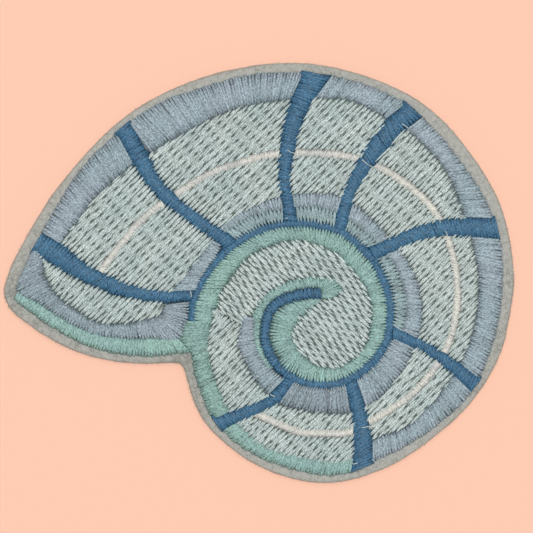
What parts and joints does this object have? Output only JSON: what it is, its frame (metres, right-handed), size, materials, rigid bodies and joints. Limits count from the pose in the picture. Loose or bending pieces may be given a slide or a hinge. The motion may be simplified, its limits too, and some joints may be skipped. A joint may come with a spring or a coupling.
{
  "type": "embroidered patch",
  "caption": "Flat felt patch cut to the outline of a spiral sea-snail shell, with raised satin-stitch ribs and bands over filled chambers, to iron or sew on.",
  "frame": {"origin": "middle of the back of the patch, on the surface that it lies or is ironed on", "axes": "+Z out of the embroidered face; +X along the longest side, from the mouth of the shell motif towards its rounded back; +Y up the motif"},
  "size_m": [0.05, 0.0412, 0.0019],
  "materials": {
    "felt": "matte needled felt, warm light grey",
    "heat_seal_film": "thin translucent iron-on adhesive film, satin",
    "blue_thread": "glossy embroidery thread, slate blue",
    "lavender_thread": "glossy embroidery thread, pale grey lavender",
    "seafoam_thread": "glossy embroidery thread, pale sea green",
    "pale_thread": "glossy embroidery thread, pale blue green",
    "fill_thread": "glossy embroidery thread, very pale grey green",
    "cream_thread": "glossy embroidery thread, off-white"
  },
  "bodies": {
    "root": {"chamber_fill_1": "fill_thread", "chamber_fill_2": "fill_thread", "chamber_fill_3": "fill_thread", "chamber_fill_4": "fill_thread", "chamber_fill_5": "fill_thread", "chamber_fill_6": "fill_thread", "chamber_fill_7": "fill_thread", "chamber_fill_8": "fill_thread", "chamber_fill_9": "fill_thread", "cream_line_2": "cream_thread", "cream_line_3": "cream_thread", "cream_line_4": "cream_thread", "cream_line_5": "cream_thread", "cream_line_6": "cream_thread", "cream_line_7": "cream_thread", "cream_line_8": "cream_thread", "felt_base": "felt", "heat_seal_film": "heat_seal_film", "hook_green": "seafoam_thread", "inner_band_2": "lavender_thread", "inner_band_3": "lavender_thread", "inner_band_4": "lavender_thread", "inner_band_5": "lavender_thread", "inner_band_6": "lavender_thread", "inner_band_7": "lavender_thread", "inner_band_8": "lavender_thread", "inner_band_9": "lavender_thread", "inner_whorl_fill": "fill_thread", "inner_whorl_green": "seafoam_thread", "lip_band": "seafoam_thread", "mouth_band": "lavender_thread", "outer_band_2": "lavender_thread", "outer_band_3": "lavender_thread", "outer_band_4": "lavender_thread", "outer_band_5": "lavender_thread", "outer_band_6": "lavender_thread", "outer_band_7": "lavender_thread", "outer_band_8": "seafoam_thread", "outer_band_9": "seafoam_thread", "pale_band_3": "pale_thread", "pale_band_4": "pale_thread", "pale_band_5": "pale_thread", "pale_band_6": "pale_thread", "rib_1": "blue_thread", "rib_2": "blue_thread", "rib_3": "blue_thread", "rib_4": "blue_thread", "rib_5": "blue_thread", "rib_6": "blue_thread", "rib_7": "blue_thread", "rib_8": "blue_thread", "spiral_line": "blue_thread"}
  },
  "joints": []
}
